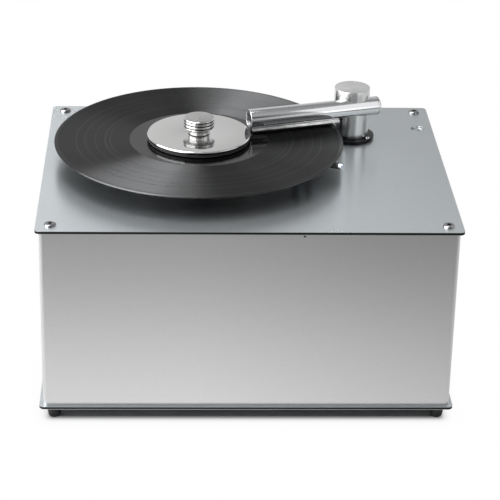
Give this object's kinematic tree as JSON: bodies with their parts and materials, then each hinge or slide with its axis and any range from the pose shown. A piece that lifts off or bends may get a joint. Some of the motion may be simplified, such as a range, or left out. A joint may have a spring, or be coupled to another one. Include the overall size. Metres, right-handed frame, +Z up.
{
  "type": "record cleaning machine",
  "caption": "Boxed vacuum record cleaner with a record on its platter, screw clamp, swinging suction arm, edge roller, waste tank, suction motor, drive and drain tap",
  "frame": {"origin": "on the floor, at the middle of the bounding box in plan", "axes": "+Z up; +Y from the front panel to the rear panel; +X to the right seen from the front, towards the arm post"},
  "size_m": [0.418, 0.3664, 0.2704],
  "materials": {
    "composite_sheet": "fine brushed skin on a black core",
    "brushed_sheet": "fine vertical brushing, clear anodised",
    "turned_aluminium": "turned, clear anodised",
    "bright_screw": "bright",
    "foot_rubber": "smooth black",
    "zinc_steel": "zinc plated",
    "bearing_bronze": "sintered bronze",
    "ground_steel": "ground and polished",
    "black_anodised": "black anodised",
    "mat_rubber": "matt black",
    "record_vinyl": "grooved gloss black",
    "polished_disc": "mirror polished",
    "spring_steel": "bright wire",
    "satin_post": "fine turned satin",
    "polished_tube": "polished",
    "dark_plug": "dark anodised",
    "polished_lip": "polished",
    "velvet": "short black pile",
    "tank_plastic": "moulded translucent white",
    "motor_case": "satin black paint",
    "fan_steel": "pressed steel",
    "black_plastic": "moulded black",
    "hose_rubber": "smooth black",
    "brass_standoff": "turned",
    "gearbox_cast": "die cast",
    "capacitor_case": "white sleeve",
    "terminal_plastic": "moulded ivory",
    "rocker_plastic": "moulded black",
    "nickel_brass": "nickel plated",
    "lever_coating": "red coated"
  },
  "bodies": {
    "cabinet": {"base_plate": "composite_sheet", "top_plate": "composite_sheet", "wrap_panel": "brushed_sheet", "rear_panel": "brushed_sheet", "corner_posts": "turned_aluminium", "top_screws": "bright_screw", "feet": "foot_rubber", "foot_studs": "zinc_steel", "rear_screws": "zinc_steel", "bearing_housing": "turned_aluminium", "bearing_bush": "bearing_bronze", "bearing_screws": "zinc_steel", "arm_flange": "black_anodised", "flange_screws": "bright_screw", "standpipe": "ground_steel", "roller_bracket": "black_anodised", "roller_axle": "ground_steel", "vent_plug": "satin_post", "waste_tank": "tank_plastic", "tank_lid": "tank_plastic", "suction_motor": "motor_case", "fan_housing": "fan_steel", "motor_feet": "mat_rubber", "suction_elbow": "black_plastic", "suction_hose": "hose_rubber", "gearbox_plate": "turned_aluminium", "gearbox_standoffs": "brass_standoff", "gearbox": "gearbox_cast", "drive_motor": "motor_case", "run_capacitor": "capacitor_case", "capacitor_clip": "zinc_steel", "terminal_block": "terminal_plastic", "switch_housings": "black_plastic", "mains_inlet": "black_plastic", "drain_valve": "nickel_brass"},
    "turntable": {"platter": "black_anodised", "platter_mat": "mat_rubber", "record": "record_vinyl", "spindle_shaft": "ground_steel", "shaft_coupling": "turned_aluminium", "motor_output_shaft": "ground_steel"},
    "clamp_plate": {"clamp_disc": "polished_disc", "clamp_gasket": "mat_rubber"},
    "clamp_grip": {"clamp_knob": "turned_aluminium", "clamp_insert": "bearing_bronze"},
    "arm_carrier": {"thrust_collar": "bearing_bronze", "lift_spring": "spring_steel"},
    "suction_arm": {"arm_bush": "bearing_bronze", "arm_post": "satin_post", "arm_head": "satin_post", "head_screws": "zinc_steel", "suction_tube": "polished_tube", "tube_plug": "dark_plug", "tube_end_cap": "polished_tube", "lip_bar": "polished_lip", "velvet_strips": "velvet"},
    "roller": {"edge_roller": "mat_rubber"},
    "direction_switch": {"direction_rocker": "rocker_plastic"},
    "vacuum_switch": {"vacuum_rocker": "rocker_plastic"},
    "drain_tap": {"drain_lever": "lever_coating"}
  },
  "joints": [
    {"name": "platter_spin", "type": "hinge", "parent": "cabinet", "child": "turntable", "pos_m": [-0.048, -0.0042, 0.225], "axis": [0, 0, 1], "continuous": true},
    {"name": "clamp_lift", "type": "slide", "parent": "turntable", "child": "clamp_plate", "axis": [0, 0, 1], "range_m": [0, 0.009]},
    {"name": "clamp_turn", "type": "hinge", "parent": "clamp_plate", "child": "clamp_grip", "pos_m": [-0.048, -0.0042, 0.251], "axis": [0, 0, 1], "range_deg": [0, 2160]},
    {"name": "arm_lift", "type": "slide", "parent": "cabinet", "child": "arm_carrier", "axis": [0, 0, 1], "range_m": [0, 0.006], "stiffness_N_per_m": 100, "springref_m": 0.012, "deforming": ["lift_spring"]},
    {"name": "arm_swing", "type": "hinge", "parent": "arm_carrier", "child": "suction_arm", "pos_m": [0.11701, 0.0608, 0.233], "axis": [0, 0, 1], "range_deg": [0, 80]},
    {"name": "roller_spin", "type": "hinge", "parent": "cabinet", "child": "roller", "pos_m": [0.08984, -0.0613, 0.2314], "axis": [0.9239, -0.3827, 0], "continuous": true},
    {"name": "direction_rock", "type": "hinge", "parent": "cabinet", "child": "direction_switch", "pos_m": [0.2014, -0.1212, 0.15], "axis": [0, 1, 0], "range_deg": [-12, 12]},
    {"name": "vacuum_rock", "type": "hinge", "parent": "cabinet", "child": "vacuum_switch", "pos_m": [0.2014, -0.0872, 0.15], "axis": [0, 1, 0], "range_deg": [-24, 0]},
    {"name": "drain_turn", "type": "hinge", "parent": "cabinet", "child": "drain_tap", "pos_m": [0.1369, 0.1552, 0.036], "axis": [0, 0, -1], "range_deg": [0, 90]}
  ],
  "couplings": [
    {"joint": "clamp_turn", "follows": "clamp_lift", "rad_per_m": 4188.8}
  ]
}
